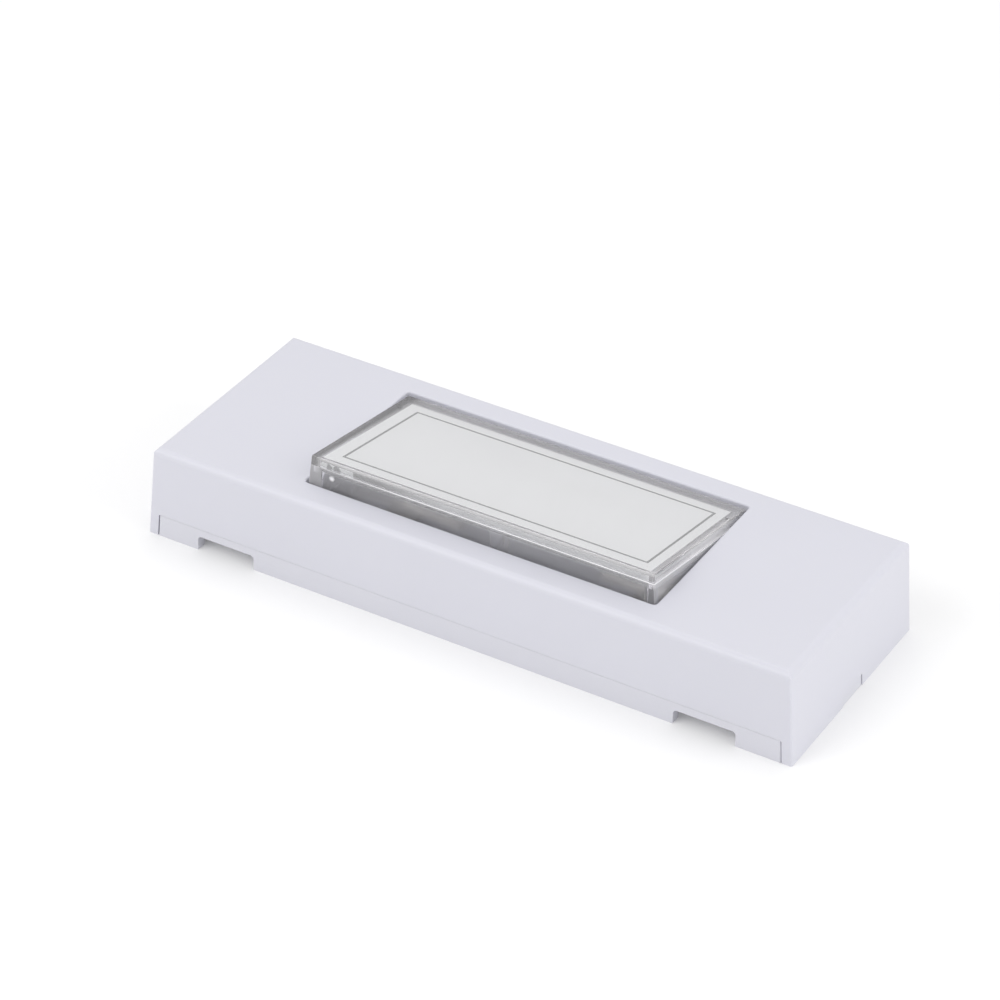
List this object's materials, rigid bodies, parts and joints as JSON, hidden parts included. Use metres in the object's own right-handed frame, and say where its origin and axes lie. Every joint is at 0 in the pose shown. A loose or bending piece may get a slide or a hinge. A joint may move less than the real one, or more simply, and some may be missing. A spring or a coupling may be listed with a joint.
{
  "type": "illuminated doorbell button",
  "caption": "Surface-mounted doorbell push: white moulded housing with a clear sloping button, name card, lamp and push contact.",
  "frame": {"origin": "middle of the back plate's underside, the face that lies on the wall", "axes": "+X along the housing, +Z out of the wall, -Y towards the raised edge of the button"},
  "size_m": [0.085, 0.03, 0.0155],
  "materials": {
    "white_housing": "fine matt-to-satin moulded ABS",
    "white_base": "satin moulded ABS",
    "clear_button": "clear polished acrylic",
    "clear_lens": "clear polished acrylic",
    "card": "smooth pale card",
    "strip_brass": "rolled brass strip",
    "clip_brass": "spring brass strip",
    "rivet_brass": "turned brass",
    "leaf_bronze": "rolled phosphor bronze",
    "contact_silver": "silver-faced rivet",
    "plated_steel": "zinc plated",
    "lamp_glass": "clear glass",
    "cap_nickel": "nickel plated brass",
    "filament_tungsten": "drawn tungsten wire"
  },
  "bodies": {
    "housing": {"base_plate": "white_base", "cover": "white_housing", "terminal_strip_left": "strip_brass", "terminal_strip_right": "strip_brass", "terminal_clamps": "plated_steel", "terminal_screws": "plated_steel", "strip_rivets": "rivet_brass", "leaf_rivet": "rivet_brass", "fixed_contact_tip": "contact_silver", "lamp_glass": "lamp_glass", "lamp_filament": "filament_tungsten", "lamp_cap_left": "cap_nickel", "lamp_cap_right": "cap_nickel", "lamp_clip_left": "clip_brass", "lamp_clip_right": "clip_brass"},
    "button": {"button_tray": "clear_button", "button_lens": "clear_lens", "name_card": "card"},
    "contact_spring": {"contact_leaf": "leaf_bronze", "moving_contact_tip": "contact_silver"}
  },
  "joints": [
    {"name": "button_press", "type": "hinge", "parent": "housing", "child": "button", "pos_m": [0, 0.01, 0.0092], "axis": [1, 0, 0], "range_deg": [0, 4.5], "stiffness_Nm_per_rad": 0.35, "springref_deg": -2.86},
    {"name": "leaf_flex", "type": "hinge", "parent": "housing", "child": "contact_spring", "pos_m": [-0.0165, -0.008, 0.00373], "axis": [0, 1, 0], "range_deg": [0, 4.6]}
  ],
  "couplings": [
    {"joint": "leaf_flex", "follows": "button_press", "ratio": 1}
  ]
}
